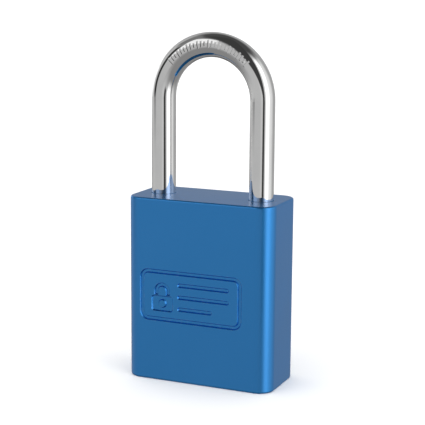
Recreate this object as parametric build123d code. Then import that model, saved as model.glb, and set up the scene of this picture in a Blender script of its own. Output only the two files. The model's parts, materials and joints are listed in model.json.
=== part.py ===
"""A solid-body safety lockout padlock, in millimetres.

Frame: +Z up along the shackle legs, +X from the heel leg towards the toe leg, -Y the marked front face.
The origin is the centre of the body's underside, so the padlock stands on z = 0.
"""

from build123d import *
import math
import os

# Body block
BODY_WIDTH = 38.1
BODY_DEPTH = 18.4
BODY_HEIGHT = 45.6
CORNER_RADIUS = 3.8
EDGE_ROUND = 0.5
FRONT_Y = -BODY_DEPTH / 2

# Shackle
LEG_RADIUS = 3.0
LEG_X = 13.0
CLEARANCE_HEIGHT = 33.8
TOE_DEPTH = 10.5
HEEL_DEPTH = 22.0
LIFT = 12.0
CROWN_Z = BODY_HEIGHT + CLEARANCE_HEIGHT + LEG_RADIUS - LEG_X
TOE_END_Z = BODY_HEIGHT - TOE_DEPTH
HEEL_END_Z = BODY_HEIGHT - HEEL_DEPTH
LEG_HOLE_RADIUS = LEG_RADIUS + 0.1
HOLE_CHAMFER = 0.15
TOE_HOLE_Z = TOE_END_Z - 1.5
HEEL_HOLE_Z = HEEL_END_Z - 11.0
LEG_END_ROUND = 0.8
TOE_END_ROUND = 1.0

# Locking balls and the channel that joins the two leg holes
BALL_RADIUS = 2.78
BALL_Z = BODY_HEIGHT - 5.2
CHANNEL_RADIUS = BALL_RADIUS + 0.07
LOCKED_REACH = 1.2
TOE_RELEASED_REACH = -0.2
HEEL_RELEASED_REACH = 0.4
NOTCH_CLEARANCE = 0.1
NECK_RADIUS = LEG_RADIUS - HEEL_RELEASED_REACH - 0.2
LEG_FACE_X = LEG_X - LEG_RADIUS
LOCKED_BALL_X = LEG_FACE_X + LOCKED_REACH - BALL_RADIUS
TOE_BALL_X = LEG_FACE_X + TOE_RELEASED_REACH - BALL_RADIUS
HEEL_BALL_X = LEG_FACE_X + HEEL_RELEASED_REACH - BALL_RADIUS

# Actuator, the two-lobed cam between the balls
CAM_GAP = 0.04
ACTUATOR_RADIUS = LOCKED_BALL_X - BALL_RADIUS - CAM_GAP
ACTUATOR_BORE_RADIUS = ACTUATOR_RADIUS + 0.09
CAM_Z = BALL_Z - BALL_RADIUS - 0.9
CAM_TOP_Z = BALL_Z + BALL_RADIUS + 0.1
CAM_TURN = math.radians(90)
CAM_STEPS = 6

# Key cylinder: shell with a straight chest for the pin chambers, and the plug in it
FACE_Z = 0.4
SHELL_RADIUS = 7.2
SHELL_TOP_Z = 29.0
CHEST_X = 15.2
CHEST_HALF_WIDTH = 3.3
CHEST_ROUND = 0.9
CAVITY_GAP = 0.1
PLUG_RADIUS = 5.4
PLUG_GAP = 0.05
PLUG_TOP_Z = 27.6
COLLAR_RADIUS = 6.1
COLLAR_HEIGHT = 1.2
TAIL_RADIUS = 3.0
TAIL_TOP_Z = SHELL_TOP_Z + 1.8
BLADE_TOP_Z = TAIL_TOP_Z + 3.4
BLADE_LENGTH = 8.4
BLADE_THICKNESS = 2.4
ACTUATOR_Z = TAIL_TOP_Z + 0.05
RELEASED_TURN = 90
COLLAR_CHAMFER = 0.25
KEYWAY_END = 2.0
KEYWAY_NEAR = (
    (-4.3, -0.55), (-2.7, -0.55), (-2.7, -1.15), (-0.9, -1.15),
    (-0.4, -0.65), (1.2, -0.65), (1.6, -1.05), (3.3, -1.05),
)
KEYWAY_FAR = (
    (3.3, 0.75), (1.9, 0.75), (1.4, 0.35), (0.2, 0.35),
    (-0.3, 1.0), (-2.1, 1.0), (-2.6, 0.5), (-4.3, 0.5),
)

# Pin stacks, which run along +X from the keyway into the chest
PIN_RADIUS = 1.45
CHAMBER_RADIUS = PIN_RADIUS + 0.05
FIRST_PIN_Z = 5.9
PIN_PITCH = 3.96
KEY_PIN_LENGTHS = (4.1, 5.3, 4.7, 5.6, 4.4)
KEY_PIN_TOP_X = 5.32
CHAMBER_FLOOR_X = -1.3
DRIVER_X = 5.46
DRIVER_LENGTH = 4.2
COVER_X = 14.3
COVER_HALF_WIDTH = 2.15
COVER_BELOW = 2.2
COVER_ABOVE = 2.0
KEY_PIN_TIP = (0.8, 0.35)
KEY_PIN_HEAD = (0.2, 0.85)
DRIVER_EDGE = 0.2
SPOOL_SHOULDER = 0.9
SPOOL_WAIST = (1.3, 0.45)
GROOVE_STARTS = (0.7, 1.4, 2.1, 2.8)
GROOVE_DEPTH = 0.22
GROOVE_WALL = 0.05
GROOVE_WIDTH = 0.3
PIN_SPRING_RADIUS = 1.15
PIN_SPRING_WIRE = 0.14
PIN_SPRING_COILS = 6

# Springs, clip and screw
SHACKLE_SPRING_RADIUS = 2.2
SHACKLE_SPRING_WIRE = 0.32
SHACKLE_SPRING_COILS = 8
CLIP_THICKNESS = 0.6
CLIP_GROOVE_RADIUS = 2.3
CLIP_Z = SHELL_TOP_Z + 0.1
CLIP_RADIUS = 4.6
CLIP_RELIEF_AT = 3.0
CLIP_RELIEF_RADIUS = 0.7
CLIP_RELIEF_ANGLES = (60, 180, 300)
CLIP_OPENING = 3.2
SCREW_HEAD_RADIUS = 2.6
SCREW_HEAD_HEIGHT = 1.8
SCREW_SEAT_Z = TOE_HOLE_Z - SCREW_HEAD_HEIGHT - 0.1
SCREW_TIP_Z = 24.6
THREAD_RADIUS = 1.45
THREAD_PITCH = 0.7
THREAD_GROOVE = 0.3
SCREW_CHAMFER = 0.3
SOCKET_RADIUS = 1.15
SOCKET_FLOOR = 0.8

# Marks: engraved panel on the front face, stamped ticks on the crown
MARK_DEPTH = 0.4
MARK_DRAFT = 35
MARK_LINE = 1.1
PANEL_CENTRE = (-1.6, 21.6)
PANEL_WIDTH = 27.0
PANEL_HEIGHT = 13.0
PANEL_RADIUS = 2.2
ICON_X = 6.0 - PANEL_WIDTH / 2
ICON_HOOP_RADIUS = 2.1
ICON_HOOP_HEIGHT = 1.2
ICON_HOOP_LEG = 1.1
ICON_BODY = (5.8, 4.0, 0.7)
ICON_BODY_HEIGHT = -2.0
ICON_KEYHOLE_RADIUS = 0.85
WRITING_X = -3.4
WRITING_LINES = ((3.0, 13.6), (0.0, 13.6), (-3.0, 9.2))
TICK_COUNT = 25
TICK_DEPTH = 0.22
TICK_WIDTH = 0.45
TICK_PITCH = 4.0
TICK_HEIGHTS = (2.0, 1.1, 1.5)
TICK_OFFSET = 0.3

# Small clearances, and the overlap that keeps joined faces from coinciding
RUNNING_GAP = 0.05
SEAT_GAP = 0.1
HEAD_GAP = 0.15
FREE_GAP = 0.2
SLOT_GAP = 0.3
SPRING_GAP = 0.02
SHIFT = 0.01


def rod(radius, z_low, z_high, x=0.0, y=0.0):
    """A vertical cylinder between two heights."""
    return extrude(Plane((x, y, z_low)) * Circle(radius), z_high - z_low)


def bar_along_x(radius, x_low, x_high, z):
    """A cylinder along +X at the given height, on the middle plane."""
    return extrude(Plane((x_low, 0, z), z_dir=(1, 0, 0)) * Circle(radius), x_high - x_low)


def turned_along_x(profile, x_start, z):
    """Revolves an outline of (distance along, radius) pairs about an axis along +X."""
    first, last = profile[0][0], profile[-1][0]
    outline = Polyline((first, 0), *profile, (last, 0), close=True)
    section = Plane((x_start, 0, z), x_dir=(1, 0, 0), z_dir=(0, 0, 1)) * make_face(outline)
    return revolve(section, Axis((x_start, 0, z), (1, 0, 0)), 360)


def pin_heights():
    """The height of each pin stack, from the key's entry inwards."""
    return [FIRST_PIN_Z + i * PIN_PITCH for i in range(len(KEY_PIN_LENGTHS))]


def coil(radius, wire_radius, turns, length):
    """A compression spring standing on z = 0, between the outer faces of its end coils."""
    rise = length - 2 * wire_radius
    path = Pos(0, 0, wire_radius) * Helix(rise / turns, rise, radius)
    section = Plane(path @ 0, z_dir=path % 0) * Circle(wire_radius)
    return sweep(section, path=path, is_frenet=True)


def cylinder_outline(gap):
    """The key cylinder's section: a circle with the straight chest on its +X side."""
    length, width = CHEST_X + gap, 2 * (CHEST_HALF_WIDTH + gap)
    chest = Pos(length / 2, 0) * RectangleRounded(length, width, CHEST_ROUND)
    return Circle(SHELL_RADIUS + gap) + chest


def frame_line(width, height, radius, line):
    """A rounded rectangle drawn as a line of even width."""
    return RectangleRounded(width, height, radius) - RectangleRounded(
        width - 2 * line, height - 2 * line, radius - line
    )


def front_marks():
    """The engraved panel: a frame, a padlock pictogram and three plain bars, all with sloping walls."""
    hoop = Circle(ICON_HOOP_RADIUS) - Circle(ICON_HOOP_RADIUS - MARK_LINE)
    hoop = hoop & Pos(0, ICON_HOOP_RADIUS) * Rectangle(4 * ICON_HOOP_RADIUS, 2 * ICON_HOOP_RADIUS)
    for side in (-1, 1):
        middle = side * (ICON_HOOP_RADIUS - MARK_LINE / 2)
        hoop += Pos(middle, -ICON_HOOP_LEG / 2) * Rectangle(MARK_LINE, ICON_HOOP_LEG)
    marks = [
        frame_line(PANEL_WIDTH, PANEL_HEIGHT, PANEL_RADIUS, MARK_LINE),
        Pos(ICON_X, ICON_HOOP_HEIGHT) * hoop,
        Pos(ICON_X, ICON_BODY_HEIGHT) * (RectangleRounded(*ICON_BODY) - Circle(ICON_KEYHOLE_RADIUS)),
    ]
    for height, length in WRITING_LINES:
        marks.append(Pos(WRITING_X + length / 2, height) * SlotOverall(length, MARK_LINE))
    plane = Plane((PANEL_CENTRE[0], FRONT_Y, PANEL_CENTRE[1]), x_dir=(1, 0, 0), z_dir=(0, -1, 0))
    return [extrude(plane * mark, -MARK_DEPTH, taper=MARK_DRAFT) for mark in marks]


def lock_body():
    """The solid block, with its leg holes, ball channel, actuator bore and cylinder cavity."""
    block = extrude(RectangleRounded(BODY_WIDTH, BODY_DEPTH, CORNER_RADIUS), BODY_HEIGHT)
    rims = block.edges().filter_by_position(Axis.Z, -SHIFT, SHIFT)
    rims += block.edges().filter_by_position(Axis.Z, BODY_HEIGHT - SHIFT, BODY_HEIGHT + SHIFT)
    block = fillet(rims, EDGE_ROUND)
    for x, bottom in ((LEG_X, TOE_HOLE_Z), (-LEG_X, HEEL_HOLE_Z)):
        block -= rod(LEG_HOLE_RADIUS, bottom, BODY_HEIGHT + 1, x)
        mouth = Pos(x, 0, BODY_HEIGHT - HOLE_CHAMFER / 2) * Cone(
            LEG_HOLE_RADIUS, LEG_HOLE_RADIUS + HOLE_CHAMFER, HOLE_CHAMFER
        )
        block -= mouth
    block -= bar_along_x(CHANNEL_RADIUS, -LEG_X, LEG_X, BALL_Z)
    block -= rod(ACTUATOR_BORE_RADIUS, SHELL_TOP_Z, CAM_TOP_Z + FREE_GAP)
    block -= extrude(Plane((0, 0, -1)) * cylinder_outline(CAVITY_GAP), 1 + SHELL_TOP_Z + CAVITY_GAP)
    block -= rod(SCREW_HEAD_RADIUS + HEAD_GAP, SCREW_SEAT_Z, TOE_HOLE_Z + SHIFT, LEG_X)
    block -= rod(THREAD_RADIUS + FREE_GAP, SHELL_TOP_Z, SCREW_SEAT_Z + SHIFT, LEG_X)
    for mark in front_marks():
        block -= mark
    return block


def crown_ticks():
    """Short radial bars of three heights, stamped into the front of the crown."""
    surface = math.sqrt(LEG_RADIUS**2 - TICK_OFFSET**2)
    ticks = Part()
    for i in range(TICK_COUNT):
        angle = 90 + (i - (TICK_COUNT - 1) / 2) * TICK_PITCH
        height = TICK_HEIGHTS[i % len(TICK_HEIGHTS)]
        tick = Box(height, 2, TICK_WIDTH, align=(Align.CENTER, Align.MAX, Align.CENTER))
        reach = Pos(LEG_X + TICK_OFFSET, TICK_DEPTH - surface, 0) * tick
        ticks += Pos(0, 0, CROWN_Z) * Rot(0, -angle, 0) * reach
    return ticks


def shackle():
    """The bent round bar, with a ball notch in each leg and the groove that keeps the heel leg in."""
    toe, heel = (LEG_X, 0, TOE_END_Z), (-LEG_X, 0, HEEL_END_Z)
    right, left = (LEG_X, 0, CROWN_Z), (-LEG_X, 0, CROWN_Z)
    path = Line(toe, right) + ThreePointArc(right, (0, 0, CROWN_Z + LEG_X), left) + Line(left, heel)
    bar = sweep(Plane(toe) * Circle(LEG_RADIUS), path=path)
    ends = bar.edges().filter_by(GeomType.CIRCLE).sort_by(Axis.Z)
    bar = fillet(ends[0], LEG_END_ROUND)
    toe_rim = bar.edges().filter_by(GeomType.CIRCLE).filter_by_position(
        Axis.Z, TOE_END_Z - SHIFT, TOE_END_Z + SHIFT
    )
    bar = fillet(toe_rim, TOE_END_ROUND)
    cutter_radius = BALL_RADIUS + NOTCH_CLEARANCE
    for side in (-1, 1):
        notch = Cylinder(cutter_radius, 4 * LEG_RADIUS, rotation=(90, 0, 0))
        bar -= Pos(side * LOCKED_BALL_X, 0, BALL_Z) * notch
    neck = rod(2 * LEG_RADIUS, BALL_Z - LIFT, BALL_Z, -LEG_X)
    bar -= neck - rod(NECK_RADIUS, BALL_Z - LIFT - 1, BALL_Z + 1, -LEG_X)
    bar -= Pos(-LEG_X, 0, BALL_Z - LIFT) * Torus(LEG_X - LOCKED_BALL_X, cutter_radius)
    return bar - crown_ticks()


def ball(x):
    """A locking ball, drawn in to its released place."""
    return Pos(x, 0, BALL_Z) * Sphere(BALL_RADIUS)


def cam_pocket(released_x):
    """The outline that a ball clears in the turning cam, from its released place at +X to its locked place.

    The ball moves out evenly with the turn, so the flank runs beside a spiral.
    """
    reach = BALL_RADIUS + CAM_GAP
    push = (LOCKED_BALL_X - released_x) / CAM_TURN

    def flank(turn):
        outward = Vector(math.cos(turn), math.sin(turn))
        along = Vector(-math.sin(turn), math.cos(turn))
        radius = released_x + push * turn
        normal = (along * push - outward * radius).normalized()
        return outward * radius + normal * reach

    spiral = Spline(*[flank(CAM_TURN * i / CAM_STEPS) for i in range(CAM_STEPS + 1)])
    start, end = spiral @ 0, spiral @ 1
    outside = 2 * ACTUATOR_RADIUS
    closing = Polyline(end, (end.X, outside), (outside, outside), (outside, start.Y), start)
    return make_face([spiral, *closing.edges()]) + Pos(released_x, 0) * Circle(reach)


def actuator():
    """The turned cam: a drum slotted for the plug's blade below, two locking lobes above."""
    drum = rod(ACTUATOR_RADIUS, ACTUATOR_Z, CAM_TOP_Z)
    height = CAM_TOP_Z - CAM_Z + 1
    for turn, released_x in ((0, TOE_BALL_X), (180, HEEL_BALL_X)):
        drum -= Rot(0, 0, turn) * extrude(Plane((0, 0, CAM_Z)) * cam_pocket(released_x), height)
    slot_top = BLADE_TOP_Z + SLOT_GAP
    slot = Box(BLADE_LENGTH + SLOT_GAP, BLADE_THICKNESS + FREE_GAP, slot_top - ACTUATOR_Z + SHIFT)
    slot = Rot(0, 0, RELEASED_TURN) * Pos(0, 0, (slot_top + ACTUATOR_Z - SHIFT) / 2) * slot
    return drum - slot


def keyway():
    """The key's slot through the plug, stepped by wards along both sides."""
    outline = make_face(Polyline(*KEYWAY_NEAR, *KEYWAY_FAR, close=True))
    return extrude(Plane((0, 0, FACE_Z - 1)) * outline, PLUG_TOP_Z - KEYWAY_END - FACE_Z + 1)


def key_plug():
    """The plug that the key turns, with its face collar, pin holes, clip groove and tail blade."""
    plug = rod(PLUG_RADIUS, FACE_Z, PLUG_TOP_Z) + rod(COLLAR_RADIUS, FACE_Z, FACE_Z + COLLAR_HEIGHT)
    plug = chamfer(plug.edges().filter_by(GeomType.CIRCLE).sort_by(Axis.Z)[0], COLLAR_CHAMFER)
    plug += rod(TAIL_RADIUS, PLUG_TOP_Z - SHIFT, TAIL_TOP_Z)
    groove = rod(TAIL_RADIUS + 1, CLIP_Z - RUNNING_GAP, CLIP_Z + CLIP_THICKNESS + RUNNING_GAP)
    plug -= groove - rod(CLIP_GROOVE_RADIUS, CLIP_Z - 1, CLIP_Z + CLIP_THICKNESS + 1)
    blade = Box(BLADE_LENGTH, BLADE_THICKNESS, BLADE_TOP_Z - TAIL_TOP_Z + SHIFT)
    blade = Pos(0, 0, (BLADE_TOP_Z + TAIL_TOP_Z - SHIFT) / 2) * blade
    plug += blade & rod(BLADE_LENGTH / 2, TAIL_TOP_Z - 1, BLADE_TOP_Z + 1)
    plug -= keyway()
    for z in pin_heights():
        plug -= bar_along_x(CHAMBER_RADIUS, CHAMBER_FLOOR_X, PLUG_RADIUS + 1, z)
    return Rot(0, 0, RELEASED_TURN) * plug


def cylinder_shell():
    """The fixed part of the key cylinder, with the plug's bore, the upper chambers and the screw's thread."""
    shell = extrude(Plane((0, 0, FACE_Z)) * cylinder_outline(0), SHELL_TOP_Z - FACE_Z)
    shell -= rod(PLUG_RADIUS + PLUG_GAP, FACE_Z - 1, PLUG_TOP_Z + SEAT_GAP)
    shell -= rod(COLLAR_RADIUS + PLUG_GAP, FACE_Z - 1, FACE_Z + COLLAR_HEIGHT + PLUG_GAP)
    shell -= rod(TAIL_RADIUS + PLUG_GAP, PLUG_TOP_Z, SHELL_TOP_Z + 1)
    for z in pin_heights():
        shell -= bar_along_x(CHAMBER_RADIUS, PLUG_RADIUS - 1, CHEST_X, z)
    low, high = cover_span()
    window = Box(CHEST_X - COVER_X + 1, 2 * COVER_HALF_WIDTH + SEAT_GAP, high - low + SEAT_GAP)
    shell -= Pos((CHEST_X + COVER_X + 1) / 2, 0, (low + high) / 2) * window
    return shell - rod(THREAD_RADIUS + RUNNING_GAP, SCREW_TIP_Z - SLOT_GAP, SHELL_TOP_Z + 1, LEG_X)


def cover_span():
    """The chamber cover's lower and upper edge."""
    heights = pin_heights()
    return heights[0] - COVER_BELOW, heights[-1] + COVER_ABOVE


def chamber_cover():
    """The brass strip that closes the outer ends of the pin chambers."""
    low, high = cover_span()
    strip = Box(CHEST_X - COVER_X, 2 * COVER_HALF_WIDTH, high - low)
    return Pos((CHEST_X + COVER_X) / 2, 0, (low + high) / 2) * strip


def key_pin(index):
    """A bottom pin, with a bevelled head at the shear line and a pointed tip towards the key."""
    length, z = KEY_PIN_LENGTHS[index], pin_heights()[index]
    tip_length, tip_radius = KEY_PIN_TIP
    head_length, head_radius = KEY_PIN_HEAD
    profile = [(0, tip_radius), (tip_length, PIN_RADIUS), (length - head_length, PIN_RADIUS)]
    profile.append((length, head_radius))
    return Rot(0, 0, RELEASED_TURN) * turned_along_x(profile, KEY_PIN_TOP_X - length, z)


def driver_pin(index):
    """A top pin: a waisted spool in the second and fourth stack, finely grooved in the others."""
    end, edge = DRIVER_LENGTH, DRIVER_EDGE
    profile = [(0, PIN_RADIUS - edge), (edge, PIN_RADIUS)]
    if index % 2:
        waist_start, waist_depth = SPOOL_WAIST
        profile += [(SPOOL_SHOULDER, PIN_RADIUS), (waist_start, PIN_RADIUS - waist_depth)]
        profile += [(end - waist_start, PIN_RADIUS - waist_depth), (end - SPOOL_SHOULDER, PIN_RADIUS)]
    else:
        for start in GROOVE_STARTS:
            profile += [(start, PIN_RADIUS), (start + GROOVE_WALL, PIN_RADIUS - GROOVE_DEPTH)]
            profile.append((start + GROOVE_WIDTH, PIN_RADIUS))
    profile += [(end - edge, PIN_RADIUS), (end, PIN_RADIUS - edge)]
    return turned_along_x(profile, DRIVER_X, pin_heights()[index])


def pin_spring(index):
    """The spring behind a top pin, held by the chamber cover."""
    start = DRIVER_X + DRIVER_LENGTH + SPRING_GAP
    spring = coil(PIN_SPRING_RADIUS, PIN_SPRING_WIRE, PIN_SPRING_COILS, COVER_X - SPRING_GAP - start)
    return Pos(start, 0, pin_heights()[index]) * Rot(0, 90, 0) * spring


def shackle_spring():
    """The spring under the heel leg, pressed to its closed length."""
    length = HEEL_END_Z - HEEL_HOLE_Z - 2 * RUNNING_GAP
    spring = coil(SHACKLE_SPRING_RADIUS, SHACKLE_SPRING_WIRE, SHACKLE_SPRING_COILS, length)
    return Pos(-LEG_X, 0, HEEL_HOLE_Z + RUNNING_GAP) * spring


def plug_clip():
    """The open retaining ring in the plug's tail groove."""
    cut = 4 * CLIP_THICKNESS
    ring = rod(CLIP_RADIUS, CLIP_Z, CLIP_Z + CLIP_THICKNESS)
    ring -= rod(CLIP_GROOVE_RADIUS + RUNNING_GAP, CLIP_Z - 1, CLIP_Z + CLIP_THICKNESS + 1)
    for angle in CLIP_RELIEF_ANGLES:
        turn = math.radians(angle)
        place = Pos(CLIP_RELIEF_AT * math.cos(turn), CLIP_RELIEF_AT * math.sin(turn), CLIP_Z)
        ring -= place * Cylinder(CLIP_RELIEF_RADIUS, cut)
    return ring - Pos(CLIP_RADIUS, 0, CLIP_Z) * Box(2 * CLIP_RADIUS, CLIP_OPENING, cut)


def cylinder_screw():
    """The screw at the foot of the toe hole, which holds the key cylinder in the body."""
    head = rod(SCREW_HEAD_RADIUS, SCREW_SEAT_Z + RUNNING_GAP, SCREW_SEAT_Z + SCREW_HEAD_HEIGHT, LEG_X)
    head = chamfer(head.edges().filter_by(GeomType.CIRCLE).sort_by(Axis.Z)[-1], SCREW_CHAMFER)
    socket = Plane((LEG_X, 0, SCREW_SEAT_Z + SOCKET_FLOOR)) * RegularPolygon(SOCKET_RADIUS, 6)
    socket = extrude(socket, SCREW_HEAD_HEIGHT)
    shank = rod(THREAD_RADIUS - RUNNING_GAP, SCREW_TIP_Z, SCREW_SEAT_Z + 2 * RUNNING_GAP, LEG_X)
    screw = head - socket + shank
    turns = int((SHELL_TOP_Z - SCREW_TIP_Z) / THREAD_PITCH)
    for turn in range(turns):
        z = SCREW_TIP_Z + (turn + 0.5) * THREAD_PITCH
        screw -= Pos(LEG_X, 0, z) * Torus(THREAD_RADIUS + 2 * RUNNING_GAP, THREAD_GROOVE)
    return screw


def write(name, shape):
    """Writes one sub-part, as its solid or solids."""
    solids = shape.solids()
    export_step(solids[0] if len(solids) == 1 else Compound(solids), f"parts/{name}.step")


def main():
    os.makedirs("parts", exist_ok=True)
    nodes = {
        "lock_body": lock_body(),
        "shackle": shackle(),
        "toe_ball": ball(TOE_BALL_X),
        "heel_ball": ball(-HEEL_BALL_X),
        "actuator": actuator(),
        "shackle_spring": shackle_spring(),
        "cylinder_shell": cylinder_shell(),
        "key_plug": key_plug(),
        "plug_clip": plug_clip(),
        "chamber_cover": chamber_cover(),
        "cylinder_screw": cylinder_screw(),
    }
    for index in range(len(KEY_PIN_LENGTHS)):
        nodes[f"key_pin_{index + 1}"] = key_pin(index)
        nodes[f"driver_pin_{index + 1}"] = driver_pin(index)
        nodes[f"pin_spring_{index + 1}"] = pin_spring(index)
    for name, shape in nodes.items():
        write(name, shape)


main()
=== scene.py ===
"""The looks of the safety padlock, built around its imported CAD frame."""

import json
import math

import bpy
from mathutils import Matrix, Vector


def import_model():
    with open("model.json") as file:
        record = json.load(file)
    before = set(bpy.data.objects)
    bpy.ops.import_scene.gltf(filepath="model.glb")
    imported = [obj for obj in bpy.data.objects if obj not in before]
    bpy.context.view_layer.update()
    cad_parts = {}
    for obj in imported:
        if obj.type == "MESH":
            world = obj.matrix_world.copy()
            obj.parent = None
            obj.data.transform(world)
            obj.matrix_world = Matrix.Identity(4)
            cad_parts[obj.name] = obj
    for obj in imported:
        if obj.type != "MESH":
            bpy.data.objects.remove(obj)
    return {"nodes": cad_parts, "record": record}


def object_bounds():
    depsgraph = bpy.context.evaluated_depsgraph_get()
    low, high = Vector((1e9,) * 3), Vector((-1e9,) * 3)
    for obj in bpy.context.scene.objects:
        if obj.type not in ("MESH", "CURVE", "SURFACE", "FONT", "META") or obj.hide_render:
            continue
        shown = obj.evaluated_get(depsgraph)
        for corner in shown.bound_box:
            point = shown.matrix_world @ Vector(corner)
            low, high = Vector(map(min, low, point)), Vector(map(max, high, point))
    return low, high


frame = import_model()
cad_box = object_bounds()

MM = 0.001

# Camera
CAMERA_AZIMUTH = math.radians(23.62)
CAMERA_ELEVATION = math.radians(10.74)
CAMERA_ROLL = math.radians(0.40)
CAMERA_DISTANCE = 309.1 * MM
CAMERA_TARGET = Vector((0.2, 0, 41.5)) * MM
LENS = 106.8
SENSOR_WIDTH = 36.0
CLIP_START, CLIP_END = 0.01, 200.0

# Studio
FLOOR_SIZE = 60.0
FLOOR_COLOUR = (0.94, 0.945, 0.95)
FLOOR_ROUGHNESS = 0.9
SUN_STRENGTH = 3.0
SUN_SPREAD = math.radians(110)
SUN_AZIMUTH, SUN_ELEVATION = math.radians(-30), math.radians(80)


def from_azimuth(azimuth, elevation):
    """The unit vector towards a place seen at this azimuth, right of the front, and elevation."""
    across = math.cos(elevation)
    return Vector((math.sin(azimuth) * across, -math.cos(azimuth) * across, math.sin(elevation)))


# ---------------------------------------------------------------- node helpers

class Nodes:
    """A material or world's node tree, with short calls for the nodes used here."""

    def __init__(self, tree):
        self.tree = tree
        tree.nodes.clear()

    def add(self, kind, inputs=None, **settings):
        node = self.tree.nodes.new(kind)
        for key, value in settings.items():
            setattr(node, key, value)
        for key, value in (inputs or {}).items():
            if isinstance(value, bpy.types.NodeSocket):
                self.tree.links.new(value, node.inputs[key])
            else:
                node.inputs[key].default_value = value
        return node

    def maths(self, operation, *values):
        return self.add("ShaderNodeMath", dict(enumerate(values)), operation=operation).outputs[0]

    def noise(self, where, scale, detail=2.0, roughness=0.5):
        inputs = {"Vector": where, "Scale": scale, "Detail": detail, "Roughness": roughness}
        return self.add("ShaderNodeTexNoise", inputs).outputs["Fac"]

    def stretched(self, where, factors):
        return self.add("ShaderNodeMapping", {"Vector": where, "Scale": factors}).outputs["Vector"]

    def spread(self, value, low, high, to_low=0.0, to_high=1.0):
        inputs = {"Value": value, "From Min": low, "From Max": high, "To Min": to_low, "To Max": to_high}
        return self.add("ShaderNodeMapRange", inputs).outputs["Result"]

    def mixed(self, factor, first, second):
        node = self.add("ShaderNodeMix", {0: factor}, data_type="RGBA")
        for socket, value in ((node.inputs[6], first), (node.inputs[7], second)):
            if isinstance(value, bpy.types.NodeSocket):
                self.tree.links.new(value, socket)
            else:
                socket.default_value = (*value, 1.0)
        return node.outputs[2]


def new_material(name):
    material = bpy.data.materials.new(name)
    material.use_nodes = True
    return material, Nodes(material.node_tree)


def object_place(nodes):
    """Positions on the object in metres, fixed to the piece when it moves."""
    return nodes.add("ShaderNodeTexCoord").outputs["Object"]


def finish_surface(nodes, colour, roughness, height, bump_distance, **sockets):
    """A metal surface, with any further sockets of the shader by name."""
    bump = nodes.add("ShaderNodeBump", {"Height": height, "Distance": bump_distance, "Strength": 1.0})
    inputs = {"Base Color": colour, "Roughness": roughness, "Normal": bump.outputs[0]}
    shader = nodes.add("ShaderNodeBsdfPrincipled", inputs)
    shader.inputs["Metallic"].default_value = 1.0
    for name, value in sockets.items():
        shader.inputs[name].default_value = value
    nodes.add("ShaderNodeOutputMaterial", {"Surface": shader.outputs[0]})


def edge_wear(nodes, radius, low, high):
    """0 on flat stretches, 1 along outer edges, where handling thins the finish."""
    bevelled = nodes.add("ShaderNodeBevel", {"Radius": radius}, samples=BEVEL_SAMPLES).outputs[0]
    true_normal = nodes.add("ShaderNodeNewGeometry").outputs["Normal"]
    dot = nodes.add("ShaderNodeVectorMath", {0: bevelled, 1: true_normal}, operation="DOT_PRODUCT")
    return nodes.spread(dot.outputs["Value"], high, low)


# ---------------------------------------------------------------- materials

# Patterns: noise cells per metre, given for x, y and z where the pattern is drawn out along the piece
DYE_CLOUDS = 55.0
BLAST_GRAIN = 5200.0
DRAW_LINES = (2600.0, 2600.0, 90.0)
RUB_PATCHES = 900.0
HAZE = 140.0
RIPPLE = (620.0, 620.0, 300.0)
HAIRLINES = (3400.0, 3400.0, 130.0)
TARNISH = 260.0
TOOL_RINGS = (300.0, 300.0, 4200.0)
STAINS = 1500.0
GRITTY = 0.6
BEVEL_SAMPLES = 6

# The stretch of noise values over which each pattern fades in
MIDDLE = (0.3, 0.7)
GRAIN_FADE = (0.35, 0.75)
RUB_FADE = (0.45, 0.75)
HAZE_TINT_FADE = (0.35, 0.7)
HAZE_BLUR_FADE = (0.35, 0.75)
TARNISH_FADE = (0.32, 0.68)
STAIN_FADE = (0.62, 0.72)

BLUE_DEEP, BLUE_BRIGHT = (0.033, 0.290, 0.735), (0.039, 0.313, 0.780)
BLUE_GRAIN, GRAIN_SHARE = (0.045, 0.335, 0.830), 0.35
BLUE_RUBBED, RUBBED_SHARE = (0.30, 0.55, 0.85), 0.5
BLUE_ROUGHNESS = (0.36, 0.42)
GRAIN_ROUGHNESS = (-0.02, 0.03)
BLUE_COAT = {"Coat Weight": 0.5, "Coat Roughness": 0.2, "Coat IOR": 1.5}
WEAR_RADIUS = 0.5 * MM
WEAR_LOW, WEAR_HIGH = 0.90, 0.985
DRAW_LINE_SHARE = 0.5

CHROME_DULL, CHROME_BRIGHT = (0.80, 0.80, 0.80), (0.86, 0.86, 0.855)
CHROME_ROUGHNESS = (0.035, 0.075)
HAIRLINE_SHARE = 0.2
FINISH_DEPTH = 0.004 * MM

STAIN_SHARE, STAIN_DARKNESS = 0.35, 0.45
TARNISH_ROUGHER, TARNISH_SMOOTHER = 0.08, 0.04
RING_ROUGHNESS = 0.06
RING_DEPTH = 0.006 * MM


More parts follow.
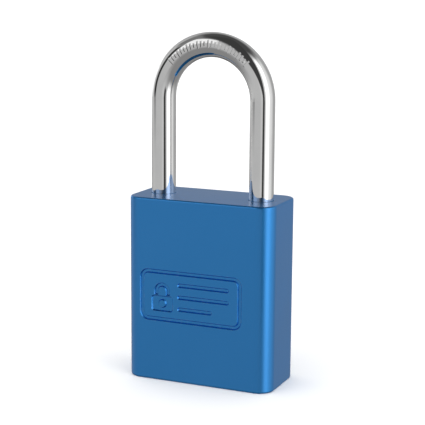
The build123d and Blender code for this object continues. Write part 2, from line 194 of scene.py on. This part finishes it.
def anodised_blue():
    """Satin bead-blasted aluminium, dyed blue: very fine grain, slight dye clouding, paler rubbed edges."""
    material, nodes = new_material("anodised_blue")
    place = object_place(nodes)
    clouds = nodes.noise(place, DYE_CLOUDS, 3.0)
    grain = nodes.noise(place, BLAST_GRAIN, 2.0, GRITTY)
    draw_lines = nodes.noise(nodes.stretched(place, DRAW_LINES), 1.0, 2.0, GRITTY)
    colour = nodes.mixed(nodes.spread(clouds, *MIDDLE), BLUE_DEEP, BLUE_BRIGHT)
    colour = nodes.mixed(nodes.spread(grain, *GRAIN_FADE, 0.0, GRAIN_SHARE), colour, BLUE_GRAIN)
    worn = edge_wear(nodes, WEAR_RADIUS, WEAR_LOW, WEAR_HIGH)
    patches = nodes.noise(place, RUB_PATCHES, 3.0)
    rubbed = nodes.maths("MULTIPLY", worn, nodes.spread(patches, *RUB_FADE, 0.0, RUBBED_SHARE))
    colour = nodes.mixed(rubbed, colour, BLUE_RUBBED)
    clouds_roughness = nodes.spread(clouds, *MIDDLE, *BLUE_ROUGHNESS)
    grain_roughness = nodes.spread(grain, *MIDDLE, *GRAIN_ROUGHNESS)
    roughness = nodes.maths("ADD", clouds_roughness, grain_roughness)
    height = nodes.maths("ADD", grain, nodes.maths("MULTIPLY", draw_lines, DRAW_LINE_SHARE))
    finish_surface(nodes, colour, roughness, height, FINISH_DEPTH, **BLUE_COAT)
    return material


def chrome():
    """Polished chrome plate: near-mirror, with faint lengthwise polishing marks and handling haze."""
    material, nodes = new_material("chrome")
    place = object_place(nodes)
    haze = nodes.noise(place, HAZE, 3.0)
    ripple = nodes.noise(nodes.stretched(place, RIPPLE), 1.0, 2.0)
    hairlines = nodes.noise(nodes.stretched(place, HAIRLINES), 1.0, 2.0)
    colour = nodes.mixed(nodes.spread(haze, *HAZE_TINT_FADE), CHROME_DULL, CHROME_BRIGHT)
    roughness = nodes.spread(haze, *HAZE_BLUR_FADE, *CHROME_ROUGHNESS)
    height = nodes.maths("ADD", nodes.maths("MULTIPLY", hairlines, HAIRLINE_SHARE), ripple)
    finish_surface(nodes, colour, roughness, height, FINISH_DEPTH)
    return material


def turned_metal(name, dark, light, roughness):
    """Machined metal: fine tool rings, tarnish in soft patches and a scatter of small stains."""
    material, nodes = new_material(name)
    place = object_place(nodes)
    patches = nodes.noise(place, TARNISH, 4.0, GRITTY)
    rings = nodes.noise(nodes.stretched(place, TOOL_RINGS), 1.0, 2.0)
    specks = nodes.spread(nodes.noise(place, STAINS, 3.0), *STAIN_FADE)
    colour = nodes.mixed(nodes.spread(patches, *TARNISH_FADE), dark, light)
    stained = nodes.maths("MULTIPLY", specks, STAIN_SHARE)
    colour = nodes.mixed(stained, colour, tuple(STAIN_DARKNESS * channel for channel in dark))
    tarnish = nodes.spread(patches, *MIDDLE, roughness + TARNISH_ROUGHER, roughness - TARNISH_SMOOTHER)
    rough = nodes.maths("ADD", tarnish, nodes.maths("MULTIPLY", rings, RING_ROUGHNESS))
    finish_surface(nodes, colour, rough, rings, RING_DEPTH)
    return material


MATERIALS = {
    "anodised_blue": anodised_blue(),
    "chrome": chrome(),
    "brass": turned_metal("brass", (0.52, 0.34, 0.12), (0.70, 0.50, 0.21), 0.26),
    "hard_steel": turned_metal("hard_steel", (0.48, 0.48, 0.49), (0.62, 0.62, 0.63), 0.12),
    "zinc_steel": turned_metal("zinc_steel", (0.36, 0.37, 0.38), (0.52, 0.52, 0.50), 0.32),
    "spring_steel": turned_metal("spring_steel", (0.28, 0.28, 0.29), (0.42, 0.42, 0.43), 0.28),
}


def dress_frame():
    """Gives each CAD node the material of its slot in the record."""
    for subpart in frame["record"]["subparts"]:
        piece = frame["nodes"][subpart["node"]]
        piece.data.materials.clear()
        piece.data.materials.append(MATERIALS[subpart["material_slot"]])


# ---------------------------------------------------------------- studio

def floor():
    material, nodes = new_material("studio_floor")
    inputs = {"Base Color": (*FLOOR_COLOUR, 1.0), "Roughness": FLOOR_ROUGHNESS}
    shader = nodes.add("ShaderNodeBsdfPrincipled", inputs)
    nodes.add("ShaderNodeOutputMaterial", {"Surface": shader.outputs[0]})
    half = FLOOR_SIZE / 2
    mesh = bpy.data.meshes.new("studio_floor")
    corners = [(-half, -half, 0), (half, -half, 0), (half, half, 0), (-half, half, 0)]
    mesh.from_pydata(corners, [], [(0, 1, 2, 3)])
    mesh.materials.append(material)
    piece = bpy.data.objects.new("studio_floor", mesh)
    piece.location.z = cad_box[0][2]
    piece.visible_glossy = False
    bpy.context.scene.collection.objects.link(piece)


def overhead_light():
    """Broad light from above that whitens the floor. The metal's highlights come from the tent alone."""
    light = bpy.data.lights.new("overhead", "SUN")
    light.energy = SUN_STRENGTH
    light.angle = SUN_SPREAD
    lamp = bpy.data.objects.new("overhead", light)
    lamp.rotation_euler = from_azimuth(SUN_AZIMUTH, SUN_ELEVATION).to_track_quat("Z", "Y").to_euler()
    lamp.visible_glossy = False
    bpy.context.scene.collection.objects.link(lamp)


# Brightness of the studio wall by azimuth in degrees: 0 is in front of the object and 90 to its right
WALL = (
    (-180, 0.44), (-150, 0.41), (-118, 0.48), (-80, 0.56), (-56, 0.53), (2, 0.54), (14, 0.64), (44, 0.60),
    (52, 0.95), (59, 1.80), (77, 1.80), (89, 0.95), (118, 0.76), (137, 0.41), (160, 0.42), (180, 0.44),
)
BRIGHTEST = 2.0
GAP_AZIMUTH = math.radians(32)
GAP_DARKNESS = 0.05
GAP_NARROW = 0.165
GAP_WIDE_LEFT, GAP_WIDE_RIGHT = 0.60, 0.16
GAP_START, GAP_END = math.radians(-16), math.radians(100)
GAP_OPENING = (-0.05, 0.30)
GAP_SIDE_FADE = (1.1, 0.75)
GAP_START_FADE, GAP_END_FADE = 0.05, 0.2
CEILING_BRIGHTNESS, CEILING_FADE = 0.07, (0.62, 0.90)
GROUND_BRIGHTNESS, GROUND_FADE = 0.27, (-0.17, -0.60)
# Cards hung in the tent: azimuth, elevation, half width and half height in degrees, then brightness
CARDS = (
    (-40, 30, 20, 17, 1.05),
    (-69, 14, 13, 20, 0.04),
    (-82, 46, 22, 13, 0.20),
    (-122, 4, 22, 9, 1.20),
    (-150, -24, 24, 17, 0.10),
)
# Degrees outside and inside a card's outline over which it fades
CARD_FADE_OUTSIDE, CARD_FADE_INSIDE = 3, 4


def wall_ramp(nodes, azimuth):
    """The wall's brightness at an azimuth, from the table above."""
    ramp = nodes.add("ShaderNodeValToRGB", {"Fac": nodes.spread(azimuth, -math.pi, math.pi)})
    stops = ramp.color_ramp.elements
    places = [(0.5 + degrees / 360, level / BRIGHTEST) for degrees, level in WALL]
    stops[0].position, stops[1].position = places[0][0], places[-1][0]
    for position, _ in places[1:-1]:
        stops.new(position)
    for stop, (_, level) in zip(stops, places):
        stop.color = (level, level, level, 1.0)
    return nodes.maths("MULTIPLY", ramp.outputs["Color"], BRIGHTEST)


def smooth(nodes, value, low, high):
    node = nodes.add("ShaderNodeMapRange", {"Value": value, "From Min": low, "From Max": high})
    node.interpolation_type = "SMOOTHSTEP"
    return node.outputs["Result"]


def blended(nodes, factor, first, second):
    """first where factor is 0 and second where it is 1."""
    node = nodes.add("ShaderNodeMix", {0: factor, 2: first, 3: second}, data_type="FLOAT")
    return node.outputs[0]


def gap(nodes, direction, height):
    """1 inside the tent's dark gap, a slit at the floor that opens to the left as it climbs."""
    forward = (math.sin(GAP_AZIMUTH), -math.cos(GAP_AZIMUTH), 0.0)
    sideways = (math.cos(GAP_AZIMUTH), math.sin(GAP_AZIMUTH), 0.0)
    along, across = [
        nodes.add("ShaderNodeVectorMath", {0: direction, 1: axis}, operation="DOT_PRODUCT").outputs["Value"]
        for axis in (forward, sideways)
    ]
    opened = smooth(nodes, height, *GAP_OPENING)
    to_left = blended(nodes, opened, -GAP_NARROW, -GAP_WIDE_LEFT)
    to_right = blended(nodes, opened, GAP_NARROW, GAP_WIDE_RIGHT)
    past_left = nodes.maths("DIVIDE", across, to_left)
    past_right = nodes.maths("DIVIDE", across, to_right)
    beyond = nodes.maths("MAXIMUM", past_left, past_right)
    climbed = nodes.maths("ARCTAN2", height, along)
    before_end = smooth(nodes, climbed, GAP_END, GAP_END - GAP_END_FADE)
    above_floor = smooth(nodes, climbed, GAP_START - GAP_START_FADE, GAP_START + GAP_START_FADE)
    inside = smooth(nodes, beyond, *GAP_SIDE_FADE)
    return nodes.maths("MULTIPLY", nodes.maths("MULTIPLY", inside, before_end), above_floor)


def card(nodes, azimuth, height, place, half_size):
    """1 on a rectangular card with soft edges; all in degrees."""
    elevation = nodes.maths("ARCSINE", height)
    cover = 1.0
    for angle, middle, half in zip((azimuth, elevation), place, half_size):
        away = nodes.maths("ABSOLUTE", nodes.maths("SUBTRACT", angle, math.radians(middle)))
        outside, inside = math.radians(half + CARD_FADE_OUTSIDE), math.radians(half - CARD_FADE_INSIDE)
        cover = nodes.maths("MULTIPLY", smooth(nodes, away, outside, inside), cover)
    return cover


def world():
    """A light tent: pale walls with a strip light, dark ceiling, hung cards, and a dark gap in front."""
    scene_world = bpy.data.worlds.new("studio")
    bpy.context.scene.world = scene_world
    scene_world.use_nodes = True
    nodes = Nodes(scene_world.node_tree)
    direction = nodes.add("ShaderNodeTexCoord").outputs["Generated"]
    x, y, height = nodes.add("ShaderNodeSeparateXYZ", {0: direction}).outputs
    azimuth = nodes.maths("ARCTAN2", x, nodes.maths("MULTIPLY", y, -1.0))

    wall = wall_ramp(nodes, azimuth)
    grey = blended(nodes, smooth(nodes, height, *CEILING_FADE), wall, CEILING_BRIGHTNESS)
    grey = blended(nodes, smooth(nodes, height, *GROUND_FADE), grey, GROUND_BRIGHTNESS)
    for *place_and_size, brightness in CARDS:
        cover = card(nodes, azimuth, height, place_and_size[:2], place_and_size[2:])
        grey = blended(nodes, cover, grey, brightness)
    grey = blended(nodes, gap(nodes, direction, height), grey, GAP_DARKNESS)

    seen = nodes.add("ShaderNodeLightPath").outputs["Is Camera Ray"]
    shown = blended(nodes, seen, grey, 1.0)
    background = nodes.add("ShaderNodeBackground", {"Color": shown, "Strength": 1.0})
    nodes.add("ShaderNodeOutputWorld", {"Surface": background.outputs[0]})


def camera():
    data = bpy.data.cameras.new("camera")
    data.lens = LENS
    data.sensor_width = SENSOR_WIDTH
    data.clip_start = CLIP_START
    data.clip_end = CLIP_END
    view = bpy.data.objects.new("camera", data)
    toward = from_azimuth(CAMERA_AZIMUTH, CAMERA_ELEVATION)
    turn = toward.to_track_quat("Z", "Y").to_matrix().to_4x4() @ Matrix.Rotation(CAMERA_ROLL, 4, "Z")
    view.matrix_world = Matrix.Translation(CAMERA_TARGET + toward * CAMERA_DISTANCE) @ turn
    bpy.context.scene.collection.objects.link(view)
    bpy.context.scene.camera = view


dress_frame()
floor()
world()
overhead_light()
camera()
bpy.context.scene.view_settings.view_transform = "Standard"
